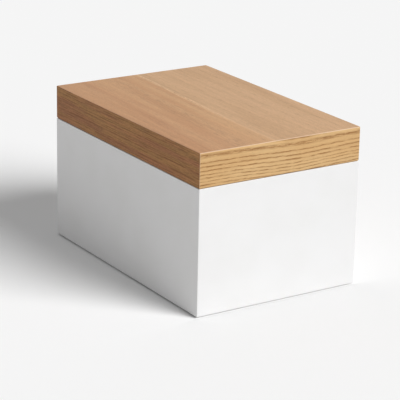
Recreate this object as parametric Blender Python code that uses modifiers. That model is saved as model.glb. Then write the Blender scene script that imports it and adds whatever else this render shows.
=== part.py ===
"""Desk storage box: a white lacquered carcass of mitred boards, and a thick oak lid that lifts off.

The origin is on the floor, in the middle of the footprint. X runs across the short front, Y runs from
the front to the back and Z points up, so the front faces -Y. Sizes are in metres.

Both the carcass and the lid are mitred frames. Each side is a length of moulded section, sawn at 45
degrees and locked to its neighbours by hidden splines. The lid's top panel is mitred to its four rails
as well, so that three mitres meet at each corner of the lid. A thin liner stands proud of the rim, and
the lid drops over it.
"""

import math

import bmesh
import bpy
from mathutils import Matrix, Vector

# Overall size
BOX_WIDTH = 0.160
BOX_DEPTH = 0.240
CARCASS_HEIGHT = 0.110
LID_HEIGHT = 0.030

# Fits
SEAT_GAP = 0.0003  # between pieces that are glued together or rest on each other
LID_FIT = 0.0005  # between the lid's rails and the lip that locates them
OVERRUN = 0.002  # how far rough stock and cutters reach past the finished shape

# Carcass boards
WALL_BOARD = 0.009
BASE_BOARD = 0.006
BASE_SEAT = 0.0045  # how far the rabbet for the base reaches into each wall
CARCASS_ROUND = 0.0005  # eased outer edges

# Liner, whose top is the lip
LINER_BOARD = 0.004
LIP_RISE = 0.008  # above the rim
LIP_ROUND = 0.0015

# Lid
LID_ROUND = 0.0008  # eased top and corner edges
LID_CHAMFER = 0.0008  # lower outer edge, which makes the shadow line over the rim
LEAD_IN = 0.0012  # lower inner edge, which guides the lid onto the lip

# Splines in the corner mitres
SPLINE_THICKNESS = 0.003
SPLINE_WIDTH = 0.008
SPLINE_HEEL = 0.004  # from the mitre's inner corner to the middle of the spline
WALL_SPLINE_STOP = 0.010  # from the rim, and from the rabbet, to the slot's ends
RAIL_SPLINE_STOP = 0.004  # from the rail's foot, and from the ceiling, to the slot's ends

# Felt pads under the base
PAD_DIAMETER = 0.014
PAD_THICKNESS = 0.001
PAD_INSET = 0.016  # from each side of the box to the pad's middle
PAD_ROUND = 0.0003

# Smoothness of rounded edges and pads
ROUND_STEPS = 4
PAD_SIDES = 32
ROUND_LIMIT_SHARE = 0.45  # the most of a piece's thickness that one rounded edge may take

# Heights and insets that follow from the sizes above
UNDERSIDE = PAD_THICKNESS + SEAT_GAP
BASE_TOP = UNDERSIDE + BASE_BOARD
RABBET_TOP = BASE_TOP + SEAT_GAP
RIM = UNDERSIDE + CARCASS_HEIGHT
LID_FOOT = RIM + SEAT_GAP
LID_TOP = LID_FOOT + LID_HEIGHT
LINER_INSET = WALL_BOARD + SEAT_GAP
LID_BOARD = LINER_INSET - LID_FIT  # the rails' inner faces clear the lip by the fit
LID_CEILING = LID_TOP - LID_BOARD
MITRE_SETBACK = SEAT_GAP / 2  # each half of a joint stands back this far from the mitre's plane

# The four sides in the order that quarter turns reach them from the front, and the four corners
SIDES = ("front", "right", "back", "left")
CORNERS = {
    "front_left": (-1, -1),
    "front_right": (1, -1),
    "back_right": (1, 1),
    "back_left": (-1, 1),
}

# A section's own X points into the box and its Y points up. A side's own X runs along it.
SECTION_TO_SIDE = Matrix(((0, 0, 1, 0), (1, 0, 0, 0), (0, 1, 0, 0), (0, 0, 0, 1)))


# Scene and materials


def clear_scene():
    for obj in list(bpy.data.objects):
        bpy.data.objects.remove(obj, do_unlink=True)


def new_collection(name):
    collection = bpy.data.collections.new(name)
    bpy.context.scene.collection.children.link(collection)
    return collection


def new_material(name, colour, roughness, metallic=0.0):
    material = bpy.data.materials.new(name)
    material.use_nodes = True
    shader = material.node_tree.nodes["Principled BSDF"]
    shader.inputs["Base Color"].default_value = (*colour, 1.0)
    shader.inputs["Roughness"].default_value = roughness
    shader.inputs["Metallic"].default_value = metallic
    return material


def new_empty(name, collection, place):
    empty = bpy.data.objects.new(name, None)
    collection.objects.link(empty)
    empty.location = place
    return empty


def new_piece(name, mesh, collection, carrier, matrix=None):
    """Adds an object for one sub-part, placed by its matrix and carried by an empty."""
    piece = bpy.data.objects.new(name, mesh)
    collection.objects.link(piece)
    piece.matrix_world = matrix or Matrix.Identity(4)
    piece.parent = carrier
    piece.matrix_parent_inverse = Matrix.Translation(carrier.location).inverted()
    return piece


def new_cutter(name, mesh, collection, matrix=None):
    """Adds a helper that only shapes other pieces, and isn't part of the box."""
    cutter = bpy.data.objects.new(name, mesh)
    collection.objects.link(cutter)
    cutter.matrix_world = matrix or Matrix.Identity(4)
    cutter.hide_render = True
    cutter.display_type = "WIRE"
    return cutter


# Solid shapes


def mesh_from(bm, name, material=None):
    mesh = bpy.data.meshes.new(name)
    bmesh.ops.recalc_face_normals(bm, faces=bm.faces[:])
    bm.to_mesh(mesh)
    bm.free()
    mesh.shade_smooth()
    mesh.set_sharp_from_angle(angle=math.radians(30))
    if material:
        mesh.materials.append(material)
    return mesh


def block_bmesh(low, high):
    """A box between two corners."""
    bm = bmesh.new()
    bmesh.ops.create_cube(bm, size=1)
    low, high = Vector(low), Vector(high)
    bmesh.ops.scale(bm, vec=high - low, verts=bm.verts[:])
    bmesh.ops.translate(bm, vec=(low + high) / 2, verts=bm.verts[:])
    return bm


def saw(bm, point, normal):
    """Takes off what lies beyond a plane, and closes the cut with one face."""
    everything = bm.verts[:] + bm.edges[:] + bm.faces[:]
    cut = bmesh.ops.bisect_plane(bm, geom=everything, plane_co=point, plane_no=normal, clear_outer=True)
    edges = [item for item in cut["geom_cut"] if isinstance(item, bmesh.types.BMEdge)]
    bmesh.ops.contextual_create(bm, geom=edges)


def arc(centre, radius, start, end):
    """Points on an arc between two angles in degrees, both ends included."""
    angles = [math.radians(start + (end - start) * step / ROUND_STEPS) for step in range(ROUND_STEPS + 1)]
    return [(centre[0] + radius * math.cos(a), centre[1] + radius * math.sin(a)) for a in angles]


def section_bmesh(outline, half_run):
    """A straight length of moulded section, whose outline gives (inset, height) points."""
    curve = bpy.data.curves.new("section", "CURVE")
    curve.dimensions = "2D"
    curve.fill_mode = "BOTH"
    curve.extrude = half_run
    spline = curve.splines.new("POLY")
    spline.points.add(len(outline) - 1)
    for point, (inset, height) in zip(spline.points, outline):
        point.co = (inset, height, 0, 1)
    spline.use_cyclic_u = True
    guide = bpy.data.objects.new("section", curve)
    bpy.context.scene.collection.objects.link(guide)
    graph = bpy.context.evaluated_depsgraph_get()
    mesh = bpy.data.meshes.new_from_object(guide.evaluated_get(graph))
    bpy.data.objects.remove(guide, do_unlink=True)
    bm = bmesh.new()
    bm.from_mesh(mesh)
    bpy.data.meshes.remove(mesh)
    bmesh.ops.remove_doubles(bm, verts=bm.verts[:], dist=SEAT_GAP / 100)
    bmesh.ops.transform(bm, matrix=SECTION_TO_SIDE, verts=bm.verts[:])
    return bm


def mitred_mesh(name, outline, half_run, material):
    """A section sawn at 45 degrees at both ends, half_run from the middle at its outer face."""
    bm = section_bmesh(outline, half_run + 2 * OVERRUN)
    for end in (-1, 1):
        normal = Vector((end, 1, 0)).normalized()
        saw(bm, Vector((end * half_run, 0, 0)) - normal * MITRE_SETBACK, normal)
    return mesh_from(bm, name, material)


def side_matrix(side):
    """Stands a side's mesh on the footprint, with its own Y pointing into the box."""
    quarter = SIDES.index(side)
    reach = (BOX_WIDTH if quarter % 2 else BOX_DEPTH) / 2
    turn = Matrix.Rotation(math.radians(90 * quarter), 4, "Z")
    return turn @ Matrix.Translation((0, -reach, 0))


def mitred_frame(prefix, outline, material, collection, carrier):
    """Four mitred sides of one section. Opposite sides share a mesh."""
    short = mitred_mesh(prefix + "_short", outline, BOX_WIDTH / 2, material)
    long = mitred_mesh(prefix + "_long", outline, BOX_DEPTH / 2, material)
    return {
        side: new_piece(
            f"{prefix}_{side}",
            long if side in ("left", "right") else short,
            collection,
            carrier,
            side_matrix(side),
        )
        for side in SIDES
    }


def add_boolean(piece, operation, other):
    modifier = piece.modifiers.new(f"{operation.lower()}_{other.name}", "BOOLEAN")
    modifier.operation = operation
    modifier.solver = "EXACT"
    modifier.object = other


def add_bevel(obj, width, angle=None):
    modifier = obj.modifiers.new("eased_edges", "BEVEL")
    modifier.width = width
    modifier.segments = ROUND_STEPS
    modifier.limit_method = "ANGLE" if angle else "NONE"
    if angle:
        modifier.angle_limit = math.radians(angle)


def finished_outside(name, low_z, high_z, radius, cutters):
    """A rounded block as wide and deep as the box, which trims rough pieces to the finished outside."""
    low = (-BOX_WIDTH / 2, -BOX_DEPTH / 2, low_z)
    high = (BOX_WIDTH / 2, BOX_DEPTH / 2, high_z)
    outside = new_cutter(name, mesh_from(block_bmesh(low, high), name), cutters)
    add_bevel(outside, radius)
    return outside


# Sections, as (inset from the outer face, height) points


def wall_outline():
    """A carcass wall, rough outside, with the rabbet that the base sits in."""
    seat = WALL_BOARD - BASE_SEAT
    return [
        (-OVERRUN, UNDERSIDE - OVERRUN),
        (seat, UNDERSIDE - OVERRUN),
        (seat, RABBET_TOP),
        (WALL_BOARD, RABBET_TOP),
        (WALL_BOARD, RIM + OVERRUN),
        (-OVERRUN, RIM + OVERRUN),
    ]


def liner_outline():
    """A liner board that stands on the base, with both its top edges rounded over."""
    outer, inner = LINER_INSET, LINER_INSET + LINER_BOARD
    top = RIM + LIP_RISE
    radius = min(LIP_ROUND, ROUND_LIMIT_SHARE * LINER_BOARD)
    return [
        (outer, RABBET_TOP),
        (inner, RABBET_TOP),
        *arc((inner - radius, top - radius), radius, 0, 90),
        *arc((outer + radius, top - radius), radius, 90, 180),
    ]


def rail_outline():
    """A lid rail, rough outside: mitred along its top, chamfered at its foot inside and out."""
    drop = MITRE_SETBACK * math.sqrt(2)
    return [
        (-OVERRUN, LID_FOOT + LID_CHAMFER + OVERRUN),
        (LID_CHAMFER, LID_FOOT),
        (LID_BOARD - LEAD_IN, LID_FOOT),
        (LID_BOARD, LID_FOOT + LEAD_IN),
        (LID_BOARD, LID_CEILING - drop),
        (-OVERRUN, LID_TOP + OVERRUN - drop),
    ]


# Pieces


def add_splines(prefix, board, low_z, high_z, pieces, material, collection, cutters, carrier):
    """A spline across each corner mitre, and the slot for it in the two sides that meet there."""
    diagonal = SPLINE_HEEL / math.sqrt(2)
    for corner, (x_side, y_side) in CORNERS.items():
        place = Vector((
            x_side * (BOX_WIDTH / 2 - board + diagonal),
            y_side * (BOX_DEPTH / 2 - board + diagonal),
            (low_z + high_z) / 2,
        ))
        across = Matrix.Rotation(math.radians(-45 * x_side * y_side), 4, "Z")
        half = Vector((SPLINE_WIDTH, SPLINE_THICKNESS, high_z - low_z)) / 2
        matrix = Matrix.Translation(place) @ across
        mesh = mesh_from(block_bmesh(-half, half), f"{prefix}_{corner}", material)
        new_piece(f"{prefix}_{corner}", mesh, collection, carrier, matrix)
        room = half + Vector((SEAT_GAP, SEAT_GAP, SEAT_GAP))
        slot_mesh = mesh_from(block_bmesh(-room, room), f"slot_{prefix}_{corner}")
        slot = new_cutter(f"slot_{prefix}_{corner}", slot_mesh, cutters, matrix)
        for side in corner.split("_"):
            add_boolean(pieces[side], "DIFFERENCE", slot)


def add_carcass(collection, cutters, carrier, lacquer, plywood):
    outside = finished_outside("carcass_outside", UNDERSIDE, RIM, CARCASS_ROUND, cutters)
    walls = mitred_frame("wall", wall_outline(), lacquer, collection, carrier)
    for wall in walls.values():
        add_boolean(wall, "INTERSECT", outside)
    add_splines(
        "wall_spline",
        WALL_BOARD,
        RABBET_TOP + WALL_SPLINE_STOP,
        RIM - WALL_SPLINE_STOP,
        walls,
        plywood,
        collection,
        cutters,
        carrier,
    )


def add_base(collection, carrier, lacquer):
    """The bottom panel, let into the walls from below and flush with their lower edges."""
    reach = WALL_BOARD - BASE_SEAT + SEAT_GAP
    corner = Vector((BOX_WIDTH / 2 - reach, BOX_DEPTH / 2 - reach, 0))
    low = Vector((0, 0, UNDERSIDE)) - corner
    high = Vector((0, 0, BASE_TOP)) + corner
    new_piece("base_panel", mesh_from(block_bmesh(low, high), "base_panel", lacquer), collection, carrier)


def add_pads(collection, carrier, felt):
    """Round felt pads stuck under the corners of the base."""
    bm = bmesh.new()
    radius = PAD_DIAMETER / 2
    bmesh.ops.create_cone(
        bm, cap_ends=True, segments=PAD_SIDES, radius1=radius, radius2=radius, depth=PAD_THICKNESS
    )
    mesh = mesh_from(bm, "pad", felt)
    for corner, (x_side, y_side) in CORNERS.items():
        place = (
            x_side * (BOX_WIDTH / 2 - PAD_INSET),
            y_side * (BOX_DEPTH / 2 - PAD_INSET),
            PAD_THICKNESS / 2,
        )
        pad = new_piece(f"pad_{corner}", mesh, collection, carrier, Matrix.Translation(place))
        add_bevel(pad, min(PAD_ROUND, ROUND_LIMIT_SHARE * PAD_THICKNESS), angle=40)


def lid_panel_mesh(material):
    """The lid's top: a board, rough on top, whose four edges are mitred to meet the rails."""
    reach = Vector((BOX_WIDTH / 2 + OVERRUN, BOX_DEPTH / 2 + OVERRUN, 0))
    low = Vector((0, 0, LID_CEILING)) - reach
    high = Vector((0, 0, LID_TOP + OVERRUN)) + reach
    bm = block_bmesh(low, high)
    for side in SIDES:
        outward = side_matrix(side).to_3x3() @ Vector((0, -1, 0))
        normal = (outward - Vector((0, 0, 1))).normalized()
        edge = side_matrix(side).to_translation() + Vector((0, 0, LID_TOP))
        saw(bm, edge - normal * MITRE_SETBACK, normal)
    return mesh_from(bm, "lid_panel", material)


def add_lid(collection, cutters, carrier, oak, plywood):
    below_foot = LID_FOOT - LID_ROUND - OVERRUN
    outside = finished_outside("lid_outside", below_foot, LID_TOP, LID_ROUND, cutters)
    rails = mitred_frame("lid_rail", rail_outline(), oak, collection, carrier)
    panel = new_piece("lid_panel", lid_panel_mesh(oak), collection, carrier)
    for piece in (*rails.values(), panel):
        add_boolean(piece, "INTERSECT", outside)
    add_splines(
        "lid_spline",
        LID_BOARD,
        LID_FOOT + RAIL_SPLINE_STOP,
        LID_CEILING - RAIL_SPLINE_STOP,
        rails,
        plywood,
        collection,
        cutters,
        carrier,
    )


def build():
    clear_scene()
    collection = new_collection("storage_box")
    cutters = new_collection("cutters")
    lacquer = new_material("white_lacquer", (0.86, 0.86, 0.87), 0.32)
    oak = new_material("oak_veneer", (0.56, 0.36, 0.20), 0.48)
    plywood = new_material("birch_plywood", (0.66, 0.50, 0.32), 0.70)
    felt = new_material("grey_felt", (0.34, 0.34, 0.33), 0.95)
    carcass = new_empty("carcass", collection, (0, 0, 0))
    lid = new_empty("lid", collection, (0, 0, LID_FOOT))
    add_carcass(collection, cutters, carcass, lacquer, plywood)
    add_base(collection, carcass, lacquer)
    mitred_frame("liner", liner_outline(), lacquer, collection, carcass)
    add_pads(collection, carcass, felt)
    add_lid(collection, cutters, lid, oak, plywood)


build()
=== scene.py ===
import math

import bpy
import numpy as np
from mathutils import Matrix, Vector


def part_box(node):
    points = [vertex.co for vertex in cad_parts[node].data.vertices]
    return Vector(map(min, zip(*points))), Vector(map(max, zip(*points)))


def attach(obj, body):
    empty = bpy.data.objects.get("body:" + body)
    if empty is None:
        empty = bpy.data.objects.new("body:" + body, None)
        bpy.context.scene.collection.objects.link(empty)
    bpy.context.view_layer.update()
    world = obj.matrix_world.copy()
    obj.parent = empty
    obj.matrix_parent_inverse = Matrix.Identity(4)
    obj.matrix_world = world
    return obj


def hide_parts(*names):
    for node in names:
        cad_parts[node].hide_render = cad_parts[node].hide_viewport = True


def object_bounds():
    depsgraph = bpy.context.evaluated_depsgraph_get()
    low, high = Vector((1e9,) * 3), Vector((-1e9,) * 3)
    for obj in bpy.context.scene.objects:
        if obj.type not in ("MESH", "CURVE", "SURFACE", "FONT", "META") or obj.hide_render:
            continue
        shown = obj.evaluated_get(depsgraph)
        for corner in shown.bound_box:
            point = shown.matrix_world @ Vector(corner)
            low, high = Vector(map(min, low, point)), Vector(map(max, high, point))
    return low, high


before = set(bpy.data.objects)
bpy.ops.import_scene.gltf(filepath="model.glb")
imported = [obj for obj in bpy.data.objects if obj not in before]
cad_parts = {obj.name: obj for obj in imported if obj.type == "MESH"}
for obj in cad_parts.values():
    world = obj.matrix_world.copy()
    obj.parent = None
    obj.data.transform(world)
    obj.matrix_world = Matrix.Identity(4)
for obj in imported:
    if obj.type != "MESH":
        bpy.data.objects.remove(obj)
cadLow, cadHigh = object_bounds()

print("frame loaded:", len(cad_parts), "CAD nodes")

# The box stands on the floor at z = 0, its short front towards -Y and its long sides along Y.
# Meshes are in metres. Patterns are worked out in millimetres, in the board's own directions.
mmPerMetre = 1000.0
sides = ["front", "right", "back", "left"]  # in the order of quarter turns
corners = ["front_left", "front_right", "back_right", "back_left"]

# Sizes read off the CAD nodes
wallLow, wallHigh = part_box("wall_front")
baseLow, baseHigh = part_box("base_panel")
linerLow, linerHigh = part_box("liner_front")
railLow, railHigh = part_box("lid_rail_front")
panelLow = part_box("lid_panel")[0]
made = {
    "halfWidth": cadHigh.x,
    "halfDepth": cadHigh.y,
    "wallBoard": wallHigh.y - cadLow.y,
    "underside": wallLow.z,
    "rim": wallHigh.z,
    "seat": baseLow.y - cadLow.y,  # how far in the base panel starts
    "baseTop": baseHigh.z,
    "linerOuter": linerLow.y - cadLow.y,
    "linerInner": linerHigh.y - cadLow.y,
    "linerFoot": linerLow.z,
    "lip": linerHigh.z,
    "railBoard": railHigh.y - cadLow.y,
    "foot": railLow.z,
    "ceiling": panelLow.z,
    "top": cadHigh.z,
}


# Meshes

def meshPiece(name, points, faces, material, sharpDegrees=30.0):
    # one closed mesh from an array of points and a list of faces, turned to face outwards
    mesh = bpy.data.meshes.new(name)
    mesh.from_pydata(points.tolist(), [], faces)
    mesh.update()
    centre = points.mean(axis=0)
    corner = np.array([points[list(face[:3])] for face in faces])
    normal = np.cross(corner[:, 1] - corner[:, 0], corner[:, 2] - corner[:, 0])
    volume = np.einsum("ij,ij->", corner[:, 0] - centre, normal)
    if volume < 0:
        mesh.flip_normals()
    mesh.shade_smooth()
    mesh.set_sharp_from_angle(angle=math.radians(sharpDegrees))
    mesh.materials.append(material)
    piece = bpy.data.objects.new(name, mesh)
    bpy.context.scene.collection.objects.link(piece)
    return piece


def gridFaces(rows, columns, wrapRows=False, first=0):
    # quads between neighbouring rows and columns of a grid whose points are stored row by row
    rowSteps = rows if wrapRows else rows - 1
    i, j = np.meshgrid(np.arange(rowSteps), np.arange(columns - 1), indexing="ij")
    here = first + i * columns + j
    above = first + ((i + 1) % rows) * columns + j
    return np.stack([here, here + 1, above + 1, above], axis=-1).reshape(-1, 4).tolist()


def edgeOffsets(radius, steps, hold):
    # Distances in from an edge that spread evenly round its arc once it is eased, and one more that
    # keeps the flat flat.
    angle = np.linspace(math.pi / 4, 0.0, steps + 1)
    return np.append(radius * (1.0 - np.tan(angle)), radius + hold)


def easedPoints(points, low, high, radius):
    # Rounds a box's edges: the nearest point of a box that is smaller by the radius is found, and a
    # point that lies further from it than the radius is pulled back to the radius. The second result
    # is 0 on flats and 1 on arrises.
    core = np.clip(points, np.array(low) + radius, np.array(high) - radius)
    reach = points - core
    length = np.linalg.norm(reach, axis=-1, keepdims=True)
    share = np.minimum(1.0, radius / np.maximum(length, radius * 0.001))
    arris = np.clip((length[..., 0] / radius - 1.0) / (math.sqrt(2.0) - 1.0), 0.0, 1.0)
    return core + reach * share, arris


def addArris(piece, arris):
    # how far onto an arris each point lies, which the material lightens as a painted highlight
    attribute = piece.data.attributes.new("arris", "FLOAT", "POINT")
    attribute.data.foreach_set("value", arris.astype(np.float32).ravel())


def sideTurn(side):
    # a side's own axes in the box: along it, inwards and up, as the rows of a matrix
    angle = math.radians(90.0 * sides.index(side))
    along = (math.cos(angle), math.sin(angle), 0.0)
    inwards = (-math.sin(angle), math.cos(angle), 0.0)
    return np.array([along, inwards, (0.0, 0.0, 1.0)])


def runStations(half, offsets):
    # shares of a board's run from -1 to 1, close together near both mitres
    near = 1.0 - offsets / half
    return np.concatenate([-near, near[::-1]])


def mitredBoard(name, side, outline, eased, material, gap=0.0):
    # A profile carried along a side. A profile point that lies d in from the face runs between plus and minus
    # (half the side - d), which saws both ends at 45 degrees, and the eased edges are rounded afterwards.
    turned = sides.index(side) % 2 == 1
    half = made["halfDepth"] if turned else made["halfWidth"]
    reach = made["halfWidth"] if turned else made["halfDepth"]
    offsets = edgeOffsets(eased["radius"], eased["steps"], eased["hold"])
    share = runStations(half, offsets)
    inset, height = np.array(outline).T
    along = np.outer(half - gap - inset, share)
    inwards = np.repeat(inset[:, None], share.size, axis=1) - reach
    up = np.repeat(height[:, None], share.size, axis=1)
    points = np.stack([along, inwards, up], axis=-1) @ sideTurn(side)
    points, arris = easedPoints(points, eased["low"], eased["high"], eased["radius"])
    rows, columns = along.shape
    faces = gridFaces(rows, columns, wrapRows=True)
    faces.append([i * columns for i in range(rows)])
    faces.append([i * columns + columns - 1 for i in reversed(range(rows))])
    piece = meshPiece(name, points.reshape(-1, 3), faces, material)
    addArris(piece, arris)
    return piece


def arcPoints(centre, radius, start, end, steps):
    # points on a circle between two angles in degrees
    angle = np.radians(np.linspace(start, end, steps + 1))
    return list(zip(centre[0] + radius * np.cos(angle), centre[1] + radius * np.sin(angle)))


def slab(name, topPoints, bottomPoints, material):
    # Two grids of the same shape, one over the other, joined all round by a rim of quads.
    rows, columns = topPoints.shape[:2]
    count = rows * columns
    upper = gridFaces(rows, columns)
    lower = [face[::-1] for face in gridFaces(rows, columns, first=count)]
    index = np.arange(count).reshape(rows, columns)
    loop = np.concatenate([index[0, :-1], index[:-1, -1], index[-1, :0:-1], index[:0:-1, 0]])
    after = np.roll(loop, -1)
    rim = np.stack([after, loop, loop + count, after + count], axis=-1).tolist()
    points = np.concatenate([topPoints.reshape(-1, 3), bottomPoints.reshape(-1, 3)])
    return meshPiece(name, points, upper + lower + rim, material)


def panelGrid(halfX, halfY, z, offsets):
    # a flat grid whose lines crowd towards its four edges
    x = runStations(halfX, offsets) * halfX
    y = runStations(halfY, offsets) * halfY
    gridX, gridY = np.meshgrid(x, y, indexing="xy")
    return np.stack([gridX, gridY, np.full_like(gridX, z)], axis=-1)


def turned(name, profile, centre, turns, material):
    # a profile of (radius, height) points turned about a vertical axis, its two ends closed on the axis
    radius, height = np.array(profile[1:-1]).T
    angle = np.linspace(0.0, 2.0 * math.pi, turns, endpoint=False)
    x = centre[0] + np.outer(radius, np.cos(angle))
    y = centre[1] + np.outer(radius, np.sin(angle))
    z = np.repeat(height[:, None], turns, axis=1)
    ring = np.stack([x, y, z], axis=-1).reshape(-1, 3)
    ends = np.array([[centre[0], centre[1], profile[0][1]], [centre[0], centre[1], profile[-1][1]]])
    here = np.arange(turns)
    after = (here + 1) % turns
    faces = []
    for i in range(len(radius) - 1):
        low, high = i * turns, (i + 1) * turns
        faces += np.stack([low + here, low + after, high + after, high + here], axis=-1).tolist()
    last = (len(radius) - 1) * turns
    foot, crown = len(ring), len(ring) + 1
    faces += np.stack([after, here, np.full(turns, foot)], axis=-1).tolist()
    faces += np.stack([last + here, last + after, np.full(turns, crown)], axis=-1).tolist()
    return meshPiece(name, np.concatenate([ring, ends]), faces, material)


# Shader building

def put(tree, kind, sockets=None, **settings):
    # one node, its settings, and its sockets set to a value or linked to another node
    node = tree.nodes.new(kind)
    for setting, value in settings.items():
        setattr(node, setting, value)
    for key, value in (sockets or {}).items():
        if isinstance(value, bpy.types.NodeSocket):
            tree.links.new(value, node.inputs[key])
        else:
            node.inputs[key].default_value = value
    return node


def calc(tree, operation, *terms, clamp=False):
    sockets = dict(enumerate(terms))
    return put(tree, "ShaderNodeMath", sockets, operation=operation, use_clamp=clamp).outputs[0]


def total(tree, *terms):
    result = terms[0]
    for term in terms[1:]:
        result = calc(tree, "ADD", result, term)
    return result


def product(tree, *terms):
    result = terms[0]
    for term in terms[1:]:
        result = calc(tree, "MULTIPLY", result, term)
    return result


def swing(tree, value, by):
    # a noise from 0 to 1 turned into a swing about 0, half of by down and half of by up
    return calc(tree, "MULTIPLY", calc(tree, "SUBTRACT", value, 0.5), by)


def joinXYZ(tree, x, y, z):
    return put(tree, "ShaderNodeCombineXYZ", {0: x, 1: y, 2: z}).outputs[0]


def greyOf(tree, value):
    return put(tree, "ShaderNodeCombineColor", {0: value, 1: value, 2: value}).outputs[0]


def ramp(tree, value, start, end, low=0.0, high=1.0, smooth=True):
    # low before start, high after end
    sockets = {"Value": value, "From Min": start, "From Max": end, "To Min": low, "To Max": high}
    kind = "SMOOTHSTEP" if smooth else "LINEAR"
    return put(tree, "ShaderNodeMapRange", sockets, interpolation_type=kind).outputs["Result"]


def blendColour(tree, factor, first, second, kind="MIX"):
    node = put(tree, "ShaderNodeMix", data_type="RGBA", blend_type=kind, clamp_factor=True)
    for index, value in ((0, factor), (6, first), (7, second)):
        if isinstance(value, bpy.types.NodeSocket):
            tree.links.new(value, node.inputs[index])
        else:
            node.inputs[index].default_value = value if index == 0 else (*value, 1.0)
    return node.outputs[2]


def noise(tree, place, stretch, seed=0.0, detail=2.0, roughness=0.5, distortion=0.0):
    # noise whose grain size along each axis is given by stretch, in the units of place
    shares = tuple(1.0 / size for size in stretch)
    scaled = put(tree, "ShaderNodeVectorMath", {0: place, 1: shares}, operation="MULTIPLY")
    sockets = {
        "Vector": scaled.outputs[0],
        "W": seed,
        "Scale": 1.0,
        "Detail": detail,
        "Roughness": roughness,
        "Distortion": distortion,
    }
    return put(tree, "ShaderNodeTexNoise", sockets, noise_dimensions="4D").outputs["Fac"]


def startMaterial(name):
    material = bpy.data.materials.new(name)
    material.use_nodes = True
    tree = material.node_tree
    tree.nodes.clear()
    place = put(tree, "ShaderNodeTexCoord").outputs["Object"]
    sockets = {0: place, "Scale": mmPerMetre}
    millimetres = put(tree, "ShaderNodeVectorMath", sockets, operation="SCALE").outputs[0]
    return material, tree, millimetres


def finishMaterial(tree, colour, roughness, normal, **shader):
    # links what varies, and sets what is the same all over on the shader itself
    sockets = {"Base Color": colour, "Roughness": roughness, "Normal": normal, **shader}
    principled = put(tree, "ShaderNodeBsdfPrincipled", sockets)
    put(tree, "ShaderNodeOutputMaterial", {"Surface": principled.outputs["BSDF"]})


def bump(tree, height, depthMm):
    sockets = {"Height": height, "Distance": depthMm / mmPerMetre, "Strength": 1.0}
    return put(tree, "ShaderNodeBump", sockets).outputs["Normal"]


# Oak veneer

oakLook = {
    "poreLength": 3.4,  # mm, along the grain
    "poreWidth": 0.17,
    "poreDepth": 0.035,
    "poreCut": 0.68,  # a higher cut leaves fewer pores
    "poreCrowding": 0.12,  # how far the cut comes down in the earlywood
    "poreEdge": 14.0,  # how hard the pores' edges are
    "fibreLength": 20.0,
    "fibreWidth": 0.75,
    "raySize": (5.0, 1.3, 1.3),  # rays are the short flecks that lean across the grain
    "rayLean": 0.42,
    "ringPace": 0.45,  # how quickly wide rings turn to narrow ones
    "cloudEdge": (0.38, 0.62),
    "lineDepth": 0.25,  # as a share of the pores' depth
    "fibreHeight": 0.25,
    "roughness": 0.52,
    "poreRoughness": 0.20,
    "cloudRoughness": 0.06,
    # the colour of the painted highlight along the arrises
    "arrisHighlightColour": (0.98, 0.86, 0.76),
    "shader": {"IOR": 1.45, "Specular IOR Level": 0.3},
}


def boardPlace(tree, place, order):
    # the point's place along the grain, across the face and into the face, in mm
    parts = put(tree, "ShaderNodeSeparateXYZ", {0: place}).outputs
    along, across, inwards = (parts["XYZ".index(letter)] for letter in order)
    return joinXYZ(tree, along, across, inwards), along, across, inwards


def growthRings(tree, place, along, across, inwards, look):
    # Growth rings are cylinders round a pith that runs along the grain, wandering a little, and a face
    # shows where it cuts them. The result counts rings outwards from the pith, and its fraction is the
    # place within one ring.
    seed = look["seed"]
    wander = swing(tree, noise(tree, place, look["wanderSize"], seed, detail=1.5), look["wanderBy"])
    ripple = swing(tree, noise(tree, place, look["rippleSize"], seed + 3.1), look["rippleBy"])
    drift = calc(tree, "MULTIPLY", along, look["drift"])
    # all the rings rise together round bendAt, by bendBy times e to the power of minus the square of
    # the distance from there in bendLengths
    fromBend = calc(tree, "DIVIDE", calc(tree, "SUBTRACT", along, look["bendAt"]), look["bendLength"])
    bend = calc(tree, "MULTIPLY", fromBend, fromBend)
    bend = calc(tree, "EXPONENT", calc(tree, "MULTIPLY", bend, -1.0))
    bend = calc(tree, "MULTIPLY", bend, look["bendBy"])
    shifted = total(tree, across, wander, ripple, drift, bend)
    offAcross = calc(tree, "SUBTRACT", shifted, look["pithAcross"])
    offInwards = calc(tree, "SUBTRACT", inwards, look["pithInwards"])
    squares = calc(tree, "MULTIPLY", offAcross, offAcross)
    squares = calc(tree, "MULTIPLY_ADD", offInwards, offInwards, squares)
    count = calc(tree, "DIVIDE", calc(tree, "SQRT", squares), look["ringWidth"])
    # rings are unevenly wide
    pace = calc(tree, "MULTIPLY_ADD", count, oakLook["ringPace"], seed)
    sockets = {"W": pace, "Scale": 1.0, "Detail": 1.0}
    uneven = put(tree, "ShaderNodeTexNoise", sockets, noise_dimensions="1D").outputs["Fac"]
    return calc(tree, "MULTIPLY_ADD", uneven, look["unevenBy"], count)


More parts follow.
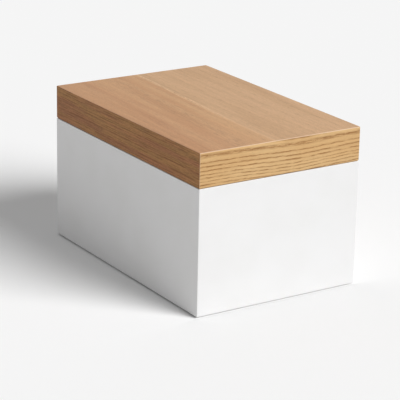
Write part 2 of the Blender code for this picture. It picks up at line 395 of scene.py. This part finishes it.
def oakMaterial(name, order, look):
    material, tree, millimetres = startMaterial(name)
    place, along, across, inwards = boardPlace(tree, millimetres, order)
    seed = look["seed"]  # each noise below adds its own number to it
    within = calc(tree, "FRACT", growthRings(tree, place, along, across, inwards, look))
    # earlywood opens quickly where a ring begins, fades into latewood, and is broken into dashes
    opens, fades = look["lineOpens"], look["lineOpens"] + look["lineWidth"]
    opening = ramp(tree, within, 0.0, opens)
    fading = ramp(tree, within, opens, fades, 1.0, 0.0)
    dashes = noise(tree, place, look["dashSize"], seed + 5.0, detail=4.0, roughness=0.7)
    dashes = ramp(tree, dashes, look["dashFrom"], look["dashTo"])
    dashes = calc(tree, "MULTIPLY_ADD", dashes, 1.0 - look["lineKept"], look["lineKept"])
    line = product(tree, opening, fading, dashes)
    # pores are short dark pits, crowded in the earlywood and few elsewhere
    poreSize = (oakLook["poreLength"], oakLook["poreWidth"], oakLook["poreWidth"])
    pores = noise(tree, place, poreSize, seed + 7.0, detail=1.0)
    cut = calc(tree, "MULTIPLY_ADD", line, -oakLook["poreCrowding"], oakLook["poreCut"])
    pores = calc(tree, "MULTIPLY", calc(tree, "SUBTRACT", pores, cut), oakLook["poreEdge"], clamp=True)
    # fibres, flecks and rays are pale and dark strokes, from long to short, and streaks are broad ones
    fibreSize = (oakLook["fibreLength"], oakLook["fibreWidth"], oakLook["fibreWidth"])
    fibres = noise(tree, place, fibreSize, seed + 11.0, detail=3.0, roughness=0.65)
    flecks = noise(tree, place, look["fleckSize"], seed + 12.0, roughness=0.6)
    leant = calc(tree, "MULTIPLY_ADD", along, -oakLook["rayLean"], across)
    rays = noise(tree, joinXYZ(tree, along, leant, inwards), oakLook["raySize"], seed + 15.0, detail=1.0)
    streaks = noise(tree, place, look["streakSize"], seed + 13.0)
    clouds = noise(tree, place, look["cloudSize"], seed + 17.0, detail=1.5)

    colour = blendColour(tree, ramp(tree, clouds, *oakLook["cloudEdge"]), look["pale"], look["blush"])
    if "leaves" in look:
        colour = look["leaves"](tree, colour, place, along, across)
    shade = total(
        tree,
        1.0,
        swing(tree, fibres, look["fibreContrast"]),
        swing(tree, flecks, look["fleckContrast"]),
        swing(tree, rays, look["rayContrast"]),
        swing(tree, streaks, look["streakContrast"]),
        calc(tree, "MULTIPLY", calc(tree, "SUBTRACT", 0.5, within), look["latewoodShade"]),
    )
    colour = blendColour(tree, 1.0, colour, greyOf(tree, shade), kind="MULTIPLY")
    inLines = calc(tree, "MULTIPLY", line, look["lineContrast"])
    colour = blendColour(tree, inLines, colour, look["earlywood"])
    inPores = calc(tree, "MULTIPLY", pores, look["poreContrast"])
    colour = blendColour(tree, inPores, colour, look["poreColour"])
    # painted highlight on the arrises, with a little sanding wear in it; how strong it is on each board
    # follows how the light catches that side
    arris = put(tree, "ShaderNodeAttribute", attribute_name="arris").outputs["Fac"]
    highlighted = calc(tree, "MULTIPLY", arris, look["arrisHighlight"])
    colour = blendColour(tree, highlighted, colour, oakLook["arrisHighlightColour"])

    roughness = calc(tree, "MULTIPLY_ADD", pores, oakLook["poreRoughness"], oakLook["roughness"])
    roughness = calc(tree, "MULTIPLY_ADD", clouds, oakLook["cloudRoughness"], roughness)
    relief = calc(tree, "MULTIPLY", pores, -1.0)
    relief = calc(tree, "MULTIPLY_ADD", line, -oakLook["lineDepth"], relief)
    relief = calc(tree, "MULTIPLY_ADD", fibres, oakLook["fibreHeight"], relief)
    normal = bump(tree, relief, oakLook["poreDepth"])
    finishMaterial(tree, colour, roughness, normal, **oakLook["shader"])
    return material


# The lid's top is two leaves of veneer, laid side by side: a rosy one on the left and a paler one on
# the right. All sizes are in mm.
topLeaves = {
    "jointFront": -7.5,  # how far right of the middle the joint meets the front edge
    "jointBack": 3.5,
    "waverSize": (70.0, 400.0, 400.0),
    "waverBy": 3.0,
    "softness": 3.5,  # one leaf's colour passes into the other's this far to each side
    "leftShade": (0.540, 0.292, 0.138),
    "leftLight": (0.610, 0.358, 0.178),
    "rightShade": (0.560, 0.340, 0.180),
    "rightLight": (0.630, 0.390, 0.214),
    "bandSize": (190.0, 13.0, 13.0),
    "bandEdge": (0.36, 0.62),
    "share": 0.9,  # how much of the colour is the leaves' own
    "outerTint": (0.85, 0.76, 0.75),  # multiplies the left leaf's colour at its outer edge
    "farShade": 0.94,  # painted shade: multiplies the whole top's colour at the back, where the light falls off
    "joint": (0.740, 0.490, 0.280),
    "jointWidth": 2.5,
    "jointSize": (26.0, 1.4, 1.4),  # the stretches over which the pale streak comes and goes
    "jointEdge": (0.36, 0.58, 0.15, 1.0),
    "jointFades": (0.25, 0.95),  # how strong it is at the front and at the back
    "fleck": (0.350, 0.185, 0.090),
    "fleckSize": (5.0, 0.8, 0.8),
    "fleckEdge": (0.46, 0.60),
    "fleckRow": (0.40, 0.95),  # how far from the middle of the row flecks thin out and end
    "fleckAside": 0.2,
    "fleckReach": (-70.0, 40.0, 0.05, 0.95),  # they grow from few to many between these places
}


def layLeaves(tree, colour, place, along, across):
    look = topLeaves
    halfDepth, halfWidth = made["halfDepth"] * mmPerMetre, made["halfWidth"] * mmPerMetre
    slope = (look["jointBack"] - look["jointFront"]) / (2.0 * halfDepth)
    middle = (look["jointBack"] + look["jointFront"]) / 2.0
    waver = noise(tree, place, look["waverSize"], 51.0, detail=0.0)
    joint = calc(tree, "MULTIPLY_ADD", along, slope, middle)
    joint = calc(tree, "MULTIPLY_ADD", calc(tree, "SUBTRACT", waver, 0.5), look["waverBy"], joint)
    off = calc(tree, "SUBTRACT", across, joint)
    leaning = joinXYZ(tree, along, off, 0.0)
    # each leaf has broad soft bands, which lean with the joint
    bands = ramp(tree, noise(tree, leaning, look["bandSize"], 53.0), *look["bandEdge"])
    left = blendColour(tree, bands, look["leftShade"], look["leftLight"])
    right = blendColour(tree, bands, look["rightShade"], look["rightLight"])
    outer = ramp(tree, across, -halfWidth, 0.0, 1.0, 0.0, smooth=False)
    left = blendColour(tree, outer, left, look["outerTint"], kind="MULTIPLY")
    leaf = blendColour(tree, ramp(tree, off, -look["softness"], look["softness"]), left, right)
    # painted shade: the top darkens towards the back
    far = ramp(tree, along, -halfDepth, halfDepth, 1.0, look["farShade"], smooth=False)
    leaf = blendColour(tree, 1.0, leaf, greyOf(tree, far), kind="MULTIPLY")
    colour = blendColour(tree, look["share"], colour, leaf)
    # the joint shows as a pale streak that comes and goes, fainter towards the front
    near = calc(tree, "ABSOLUTE", off)
    onJoint = ramp(tree, near, 0.2 * look["jointWidth"], look["jointWidth"], 1.0, 0.0)
    comes = ramp(tree, noise(tree, leaning, look["jointSize"], 57.0), *look["jointEdge"])
    fades = ramp(tree, along, -halfDepth, 0.3 * halfDepth, *look["jointFades"])
    colour = blendColour(tree, product(tree, onJoint, comes, fades), colour, look["joint"])
    # and has a row of fine dark flecks in it, mostly in the back half
    flecks = ramp(tree, noise(tree, leaning, look["fleckSize"], 59.0, detail=1.0), *look["fleckEdge"])
    aside = calc(tree, "ABSOLUTE", calc(tree, "ADD", off, look["fleckAside"]))
    inRow = ramp(tree, aside, *look["fleckRow"], 1.0, 0.0)
    many = ramp(tree, along, *look["fleckReach"])
    return blendColour(tree, product(tree, flecks, inRow, many), colour, look["fleck"])


frontGrain = {
    "seed": 2.0,
    "pithAcross": 141.0,  # mm up from the floor: level with the lid's top edge
    "pithInwards": -110.0,  # mm along Y: 10 mm behind the front face
    "ringWidth": 2.65,
    "unevenBy": 0.55,
    "wanderSize": (60.0, 16.0, 16.0),
    "wanderBy": 1.8,
    "rippleSize": (8.0, 3.0, 3.0),
    "rippleBy": 1.7,
    "drift": 0.004,
    "bendAt": 17.0,
    "bendLength": 40.0,
    "bendBy": 2.1,
    "lineOpens": 0.14,
    "lineWidth": 0.46,
    "lineContrast": 0.84,
    "lineKept": 0.22,
    "dashSize": (9.0, 0.9, 0.9),
    "dashFrom": 0.38,
    "dashTo": 0.57,
    "latewoodShade": 0.10,
    "poreContrast": 0.55,
    "fibreContrast": 0.34,
    "fleckSize": (2.4, 0.6, 0.6),
    "fleckContrast": 0.20,
    "rayContrast": 0.10,
    "streakContrast": 0.26,
    "streakSize": (70.0, 1.6, 1.6),
    "cloudSize": (60.0, 18.0, 18.0),
    "pale": (0.690, 0.452, 0.216),
    "blush": (0.655, 0.408, 0.184),
    "earlywood": (0.255, 0.100, 0.020),
    "poreColour": (0.220, 0.100, 0.035),
    # the lit front's arrises get a strong painted highlight
    "arrisHighlight": 0.50,
}

topGrain = dict(
    frontGrain,
    seed=9.0,
    pithAcross=-30.0,
    pithInwards=95.0,
    ringWidth=6.0,
    unevenBy=1.2,
    wanderSize=(120.0, 40.0, 40.0),
    wanderBy=13.0,
    rippleSize=(22.0, 8.0, 8.0),
    rippleBy=2.4,
    drift=-0.055,
    bendBy=0.0,
    lineOpens=0.06,
    lineWidth=0.22,
    lineContrast=0.48,
    lineKept=0.10,
    dashSize=(12.0, 1.3, 1.3),
    dashFrom=0.46,
    dashTo=0.62,
    latewoodShade=0.05,
    poreContrast=0.30,
    fibreContrast=0.38,
    fleckSize=(3.5, 0.9, 0.9),
    fleckContrast=0.24,
    rayContrast=0.22,
    streakContrast=0.22,
    streakSize=(120.0, 3.0, 3.0),
    cloudSize=(150.0, 30.0, 30.0),
    pale=(0.560, 0.335, 0.190),
    blush=(0.520, 0.300, 0.165),
    earlywood=(0.330, 0.185, 0.095),
    poreColour=(0.300, 0.160, 0.080),
    leaves=layLeaves,
)

leftGrain = dict(
    frontGrain,
    seed=21.0,
    pithAcross=330.0,
    pithInwards=-160.0,
    ringWidth=2.1,
    unevenBy=1.1,
    wanderSize=(140.0, 30.0, 30.0),
    wanderBy=2.0,
    rippleSize=(16.0, 4.0, 4.0),
    rippleBy=0.8,
    drift=0.004,
    bendBy=0.0,
    lineOpens=0.12,
    lineWidth=0.45,
    lineContrast=0.90,
    lineKept=0.10,
    dashSize=(15.0, 1.1, 1.1),
    dashFrom=0.42,
    dashTo=0.57,
    latewoodShade=0.10,
    poreContrast=0.40,
    fibreContrast=0.95,
    fleckSize=(3.0, 0.7, 0.7),
    fleckContrast=0.90,
    streakContrast=0.75,
    streakSize=(42.0, 1.8, 1.8),
    cloudSize=(80.0, 6.0, 6.0),
    pale=(0.400, 0.197, 0.065),
    blush=(0.370, 0.158, 0.064),
    earlywood=(0.190, 0.072, 0.020),
    poreColour=(0.170, 0.075, 0.028),
    # the shaded left side's arrises get almost no painted highlight
    arrisHighlight=0.06,
)

backGrain = dict(frontGrain, seed=31.0, pithInwards=109.0, bendAt=-30.0, bendBy=-2.0)
rightGrain = dict(
    leftGrain,
    seed=41.0,
    pithInwards=170.0,
    pale=(0.580, 0.340, 0.170),
    blush=(0.540, 0.305, 0.150),
    earlywood=(0.330, 0.165, 0.065),
    # the right side's arrises get a middling painted highlight
    arrisHighlight=0.25,
)

oak = {
    "front": oakMaterial("oakFront", "XZY", frontGrain),
    "back": oakMaterial("oakBack", "XZY", backGrain),
    "left": oakMaterial("oakLeft", "YZX", leftGrain),
    "right": oakMaterial("oakRight", "YZX", rightGrain),
    "top": oakMaterial("oakTop", "YXZ", topGrain),
}
print("oak veneer mixed")


# White lacquer, felt and plywood

lacquerLook = {
    "colour": (0.86, 0.86, 0.865),
    "shade": (0.84, 0.84, 0.84),
    "cloudSize": 45.0,  # mm, and so are the sizes that follow
    "cloudEdge": (0.35, 0.65),
    "peelSize": 1.7,  # between the dimples that spraying leaves
    "peelDepth": 0.004,
    "sagSize": 14.0,
    "sagHeight": 3.0,  # in peel depths
    "roughness": 0.36,
    "cloudRoughness": 0.06,
    "shader": {"IOR": 1.5},
}


def lacquerMaterial(name):
    look = lacquerLook
    material, tree, place = startMaterial(name)
    clouds = noise(tree, place, (look["cloudSize"],) * 3, 4.0)
    colour = blendColour(tree, ramp(tree, clouds, *look["cloudEdge"]), look["colour"], look["shade"])
    peel = noise(tree, place, (look["peelSize"],) * 3, 8.0, detail=1.0)
    sags = noise(tree, place, (look["sagSize"],) * 3, 12.0, detail=1.0)
    relief = calc(tree, "MULTIPLY_ADD", sags, look["sagHeight"], peel)
    roughness = calc(tree, "MULTIPLY_ADD", clouds, look["cloudRoughness"], look["roughness"])
    finishMaterial(tree, colour, roughness, bump(tree, relief, look["peelDepth"]), **look["shader"])
    return material


feltLook = {
    "colour": (0.34, 0.34, 0.33),
    "dark": (0.20, 0.20, 0.20),
    "fibreSize": 0.25,  # mm
    "fibreShare": 0.7,
    "tuftSize": 1.4,
    "tuftShare": 0.5,
    "pileDepth": 0.25,
    "roughness": 0.95,
    "shader": {"Sheen Weight": 0.4},
}


def feltMaterial(name):
    look = feltLook
    material, tree, place = startMaterial(name)
    fibres = noise(tree, place, (look["fibreSize"],) * 3, 3.0, detail=4.0, roughness=0.7, distortion=1.2)
    tufts = noise(tree, place, (look["tuftSize"],) * 3, 6.0)
    fibres = calc(tree, "MULTIPLY", fibres, look["fibreShare"])
    mixed = calc(tree, "MULTIPLY_ADD", tufts, look["tuftShare"], fibres)
    colour = blendColour(tree, ramp(tree, mixed, 0.4, 0.8), look["dark"], look["colour"])
    finishMaterial(tree, colour, look["roughness"], bump(tree, mixed, look["pileDepth"]), **look["shader"])
    return material


plywoodLook = {
    "pale": (0.66, 0.50, 0.32),
    "dark": (0.45, 0.30, 0.17),
    "ply": 0.75,  # mm
    "stripeShare": 0.6,
    "grainSize": (0.3, 0.3, 9.0),
    "grainShare": 0.5,
    "grainDepth": 0.05,
    "roughness": 0.75,
}


def plywoodMaterial(name):
    look = plywoodLook
    material, tree, place = startMaterial(name)
    parts = put(tree, "ShaderNodeSeparateXYZ", {0: place}).outputs
    layer = calc(tree, "PINGPONG", total(tree, parts[0], parts[1]), look["ply"])
    stripe = ramp(tree, layer, 0.3 * look["ply"], 0.6 * look["ply"])
    stripe = calc(tree, "MULTIPLY", stripe, look["stripeShare"])
    grain = noise(tree, place, look["grainSize"], 2.0, detail=3.0)
    mixed = calc(tree, "MULTIPLY_ADD", grain, look["grainShare"], stripe)
    colour = blendColour(tree, mixed, look["pale"], look["dark"])
    finishMaterial(tree, colour, look["roughness"], bump(tree, mixed, look["grainDepth"]))
    return material


lacquer = lacquerMaterial("whiteLacquer")
felt = feltMaterial("greyFelt")
plywood = plywoodMaterial("birchPlywood")
print("lacquer, felt and plywood mixed")


def dress(piece, body, slot, *nodes):
    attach(piece, body)
    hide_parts(*nodes)
    return piece


# Carcass

carcassLook = {"radius": 0.0005, "steps": 5, "hold": 0.0003, "innerRadius": 0.0004, "innerSteps": 4}


def wallOutline(offsets):
    # (inset, height) points: up the outer face, over the rim, down the inner face, round the rabbet and back
    foot, rim, board, seat = made["underside"], made["rim"], made["wallBoard"], made["seat"]
    easing = carcassLook["innerRadius"]
    outside = [(0.0, foot + d) for d in offsets] + [(0.0, rim - d) for d in reversed(offsets)]
    rimTop = [(d, rim) for d in offsets[1:]]
    inside = arcPoints((board - easing, rim - easing), easing, 90.0, 0.0, carcassLook["innerSteps"])
    rabbet = [(board, made["linerFoot"]), (seat, made["linerFoot"]), (seat, foot)]
    underneath = [(d, foot) for d in reversed(offsets[1:])]
    return outside + rimTop + inside + rabbet + underneath


def makeWalls():
    low = (cadLow.x, cadLow.y, made["underside"])
    high = (cadHigh.x, cadHigh.y, made["rim"])
    eased = dict(carcassLook, low=low, high=high)
    offsets = edgeOffsets(eased["radius"], eased["steps"], eased["hold"]).tolist()
    for side in sides:
        wall = mitredBoard(f"{side}Wall", side, wallOutline(offsets), eased, lacquer)
        dress(wall, "carcass", "white_lacquer", f"wall_{side}")


linerLook = {"radius": 0.0015, "steps": 8, "shoulder": 1.2, "mitreGap": 0.00005, "endStep": 0.0003}


def linerOutline():
    outer, inner = made["linerOuter"], made["linerInner"]
    radius, top, foot = linerLook["radius"], made["lip"], made["linerFoot"]
    shoulder = top - linerLook["shoulder"] * radius  # just under the rounded crown
    crown = arcPoints((outer + radius, top - radius), radius, 180.0, 90.0, linerLook["steps"])
    crown += arcPoints((inner - radius, top - radius), radius, 90.0, 0.0, linerLook["steps"])
    return [(outer, foot), (outer, shoulder), *crown, (inner, shoulder), (inner, foot)]


def makeLiners():
    # nothing on a liner lies near the eased outer edges, so these limits are far away
    far, step = made["halfDepth"] * 2.0, linerLook["endStep"]
    eased = {"radius": step, "steps": 1, "hold": step, "low": (-far,) * 3, "high": (far,) * 3}
    for side in sides:
        name = f"{side}Liner"
        liner = mitredBoard(name, side, linerOutline(), eased, lacquer, gap=linerLook["mitreGap"])
        dress(liner, "carcass", "white_lacquer", f"liner_{side}")


baseLook = {"border": 0.0005}  # a narrow row of faces round the edge


def makeBase():
    halfX, halfY = made["halfWidth"] - made["seat"], made["halfDepth"] - made["seat"]
    offsets = np.array([0.0, baseLook["border"]])
    upper = panelGrid(halfX, halfY, made["baseTop"], offsets)
    lower = panelGrid(halfX, halfY, made["underside"], offsets)
    dress(slab("basePanel", upper, lower, lacquer), "carcass", "white_lacquer", "base_panel")


padLook = {"turns": 72, "edgeRadius": 0.0003, "steps": 5, "innerRing": 0.5}


def makePads():
    for corner in corners:
        low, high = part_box(f"pad_{corner}")
        centre = ((low.x + high.x) / 2, (low.y + high.y) / 2)
        radius, edge = (high.x - low.x) / 2, padLook["edgeRadius"]
        ring = radius * padLook["innerRing"]
        profile = [(0.0, low.z), (ring, low.z)]
        profile += arcPoints((radius - edge, low.z + edge), edge, -90.0, 0.0, padLook["steps"])
        profile += arcPoints((radius - edge, high.z - edge), edge, 0.0, 90.0, padLook["steps"])
        profile += [(ring, high.z), (0.0, high.z)]
        pad = turned(f"{corner}Pad", profile, centre, padLook["turns"], felt)
        dress(pad, "carcass", "grey_felt", f"pad_{corner}")


makeWalls()
makeLiners()
makeBase()
makePads()
print("carcass made")


# Lid

lidLook = {
    "radius": 0.0008,
    "steps": 6,
    "hold": 0.0003,
    "chamfer": 0.0008,
    "leadIn": 0.0012,
    "longArrisHighlight": 0.3,  # how much painted highlight the top's long arrises get, where the short ones have 1
}


def railOutline(offsets):
    # (inset, height) points: up the outer face, down the mitre to the ceiling, down the inner face
    # and along the foot
    foot, top, board = made["foot"], made["top"], made["railBoard"]
    chamfer, leadIn = lidLook["chamfer"], lidLook["leadIn"]
    outside = [(0.0, foot + chamfer), (0.0, foot + 2.0 * chamfer)]
    outside += [(0.0, top - d) for d in reversed(offsets)]
    inside = [(board, made["ceiling"]), (board, foot + leadIn)]
    under = [(board - leadIn, foot), (chamfer, foot)]
    return outside + inside + under


def makeLid():
    below = made["foot"] - lidLook["radius"] * 4.0  # low enough to leave the foot's edges alone
    eased = dict(lidLook, low=(cadLow.x, cadLow.y, below), high=tuple(cadHigh))
    offsets = edgeOffsets(eased["radius"], eased["steps"], eased["hold"])
    for side in sides:
        rail = mitredBoard(f"{side}Rail", side, railOutline(offsets.tolist()), eased, oak[side])
        dress(rail, "lid", "oak_veneer", f"lid_rail_{side}")
    board = made["railBoard"]
    upper = panelGrid(made["halfWidth"], made["halfDepth"], made["top"], offsets)
    lower = panelGrid(made["halfWidth"] - board, made["halfDepth"] - board, made["ceiling"], offsets)
    upper, arris = easedPoints(upper, eased["low"], eased["high"], eased["radius"])
    # painted highlight: the top's long arrises, beside the shaded left side and the right, get less of it
    # than the front and back ones
    atEnds = np.abs(upper[..., 1]) > made["halfDepth"] - lidLook["radius"]
    arris = np.where(atEnds, arris, arris * lidLook["longArrisHighlight"])
    panel = slab("lidTopPanel", upper, lower, oak["top"])
    addArris(panel, np.concatenate([arris.ravel(), np.zeros(arris.size)]))
    dress(panel, "lid", "oak_veneer", "lid_panel")


makeLid()
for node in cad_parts:
    if "spline" in node:
        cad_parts[node].data.materials.clear()
        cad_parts[node].data.materials.append(plywood)
print("lid made")


# Studio

studioLook = {
    "floorHalf": 6.0,
    "floorColour": (0.90, 0.90, 0.90),
    "floorBounce": (0.77, 0.765, 0.755),
    "backdrop": (0.921, 0.921, 0.921),
    "ambient": (0.35, 0.35, 0.35),
    "bounced": 0.54,  # how much the white front would brighten the paper at its foot
    "bounceSpread": 45.0,  # mm over which that fades past the front's ends
}

# A lamp stands round to the right of the front: degrees from straight ahead of the front, and degrees
# up. The floor has a lamp of its own a little lower, so that its shadow is as long and deep as the one
# in the photograph while the box itself is lit at a plain level.
lampLook = {
    "key": {"round": 25.0, "up": 48.0, "strength": 2.42, "angle": 24.0},
    "floor": {"round": 26.0, "up": 32.0, "strength": 3.95, "angle": 36.0},
}


def frontBounce(tree, place):
    # The share of a floor point's view that the box's front fills: half of (1 - d / length of
    # (d, height)), for a front of endless width, times half the sum of both ends' sines for its real
    # width.
    parts = put(tree, "ShaderNodeSeparateXYZ", {0: place}).outputs
    halfWidth, height = made["halfWidth"] * mmPerMetre, made["top"] * mmPerMetre
    front, nearest = -made["halfDepth"] * mmPerMetre, 0.01
    off = calc(tree, "MAXIMUM", calc(tree, "SUBTRACT", front, parts[1]), nearest)
    offSquared = calc(tree, "MULTIPLY", off, off)
    slant = calc(tree, "SQRT", calc(tree, "ADD", offSquared, height * height))
    filled = calc(tree, "MULTIPLY_ADD", calc(tree, "DIVIDE", off, slant), -0.5, 0.5)
    reach = calc(tree, "MULTIPLY_ADD", off, studioLook["bounceSpread"], offSquared)
    ends = []
    for sign in (1.0, -1.0):
        toEnd = calc(tree, "MULTIPLY_ADD", parts[0], sign, halfWidth)
        squares = calc(tree, "MULTIPLY_ADD", toEnd, toEnd, reach)
        ends.append(calc(tree, "DIVIDE", toEnd, calc(tree, "SQRT", squares)))
    width = calc(tree, "MAXIMUM", calc(tree, "MULTIPLY", total(tree, *ends), 0.5), 0.0)
    inFront = calc(tree, "GREATER_THAN", off, 1.1 * nearest)
    return product(tree, filled, width, inFront)


def makeFloor():
    material, tree, place = startMaterial("floorPaper")
    # the paper is a little darker in front of the box, where the white front would light it past white
    extra = calc(tree, "MULTIPLY_ADD", frontBounce(tree, place), studioLook["bounced"], 1.0)
    even = calc(tree, "DIVIDE", 1.0, extra)
    paper = blendColour(tree, 1.0, greyOf(tree, even), studioLook["floorColour"], kind="MULTIPLY")
    ray = put(tree, "ShaderNodeLightPath").outputs["Is Camera Ray"]
    colour = blendColour(tree, ray, studioLook["floorBounce"], paper)
    diffuse = put(tree, "ShaderNodeBsdfDiffuse", {"Color": colour})
    put(tree, "ShaderNodeOutputMaterial", {"Surface": diffuse.outputs[0]})
    half = studioLook["floorHalf"]
    corner = np.array([[-half, -half, 0.0], [half, -half, 0.0], [half, half, 0.0], [-half, half, 0.0]])
    mesh = bpy.data.meshes.new("floor")
    mesh.from_pydata(corner.tolist(), [], [[0, 1, 2, 3]])
    mesh.materials.append(material)
    floor = bpy.data.objects.new("floor", mesh)
    bpy.context.scene.collection.objects.link(floor)
    return floor


def makeLamp(name, look, floor, floorLink):
    lamp = bpy.data.lights.new(name, "SUN")
    lamp.energy = look["strength"]
    lamp.angle = math.radians(look["angle"])  # how wide it looks from the box, for soft shadows
    holder = bpy.data.objects.new(name, lamp)
    bpy.context.scene.collection.objects.link(holder)
    turn, up = math.radians(look["round"]), math.radians(look["up"])
    towards = Vector((math.sin(turn) * math.cos(up), -math.cos(turn) * math.cos(up), math.sin(up)))
    holder.rotation_mode = "QUATERNION"
    holder.rotation_quaternion = towards.to_track_quat("Z", "Y")
    lit = bpy.data.collections.new(f"{name}Lights")
    lit.objects.link(floor)
    lit.collection_objects[0].light_linking.link_state = floorLink
    holder.light_linking.receiver_collection = lit


def makeWorld():
    world = bpy.data.worlds.new("studio")
    bpy.context.scene.world = world
    world.use_nodes = True
    tree = world.node_tree
    tree.nodes.clear()
    paths = put(tree, "ShaderNodeLightPath").outputs
    seen = calc(tree, "MAXIMUM", paths["Is Camera Ray"], paths["Is Glossy Ray"])
    seen = calc(tree, "MAXIMUM", seen, paths["Is Transmission Ray"])
    colour = blendColour(tree, seen, studioLook["ambient"], studioLook["backdrop"])
    shade = put(tree, "ShaderNodeBackground", {"Color": colour, "Strength": 1.0})
    put(tree, "ShaderNodeOutputWorld", {"Surface": shade.outputs[0]})


# The camera's place was worked out from the box's edges in the photograph.
cameraLook = {
    "headingDegrees": 57.10,  # from +X towards +Y
    "downDegrees": 18.36,
    "rollDegrees": 1.12,
    "sensor": 36.0,  # mm
    "lens": 163.4,
    "clip": (0.05, 50.0),
    "cornerRight": -0.0026,  # where the near lower corner lies, in metres from the camera
    "cornerUp": -0.0962,
    "cornerAhead": 1.4856,
}


def makeCamera():
    look = cameraLook
    heading, down, roll = (math.radians(look[f"{turn}Degrees"]) for turn in ("heading", "down", "roll"))
    level = math.cos(down)
    ahead = Vector((math.cos(heading) * level, math.sin(heading) * level, -math.sin(down)))
    sideways = ahead.cross(Vector((0, 0, 1))).normalized()
    upright = sideways.cross(ahead)
    right = sideways * math.cos(roll) + upright * math.sin(roll)
    up = upright * math.cos(roll) - sideways * math.sin(roll)
    corner = Vector((cadLow.x, cadLow.y, made["underside"]))
    offset = right * look["cornerRight"] + up * look["cornerUp"] + ahead * look["cornerAhead"]
    lens = bpy.data.cameras.new("camera")
    lens.lens = look["lens"]
    lens.sensor_width = look["sensor"]
    lens.clip_start, lens.clip_end = look["clip"]
    camera = bpy.data.objects.new("camera", lens)
    bpy.context.scene.collection.objects.link(camera)
    turn = Matrix((right, up, -ahead)).transposed().to_4x4()
    camera.matrix_world = Matrix.Translation(corner - offset) @ turn
    bpy.context.scene.camera = camera


studioFloor = makeFloor()
makeLamp("keyLamp", lampLook["key"], studioFloor, "EXCLUDE")
makeLamp("floorLamp", lampLook["floor"], studioFloor, "INCLUDE")
makeWorld()
makeCamera()
bpy.context.scene.view_settings.view_transform = "Standard"
print("studio and camera set")
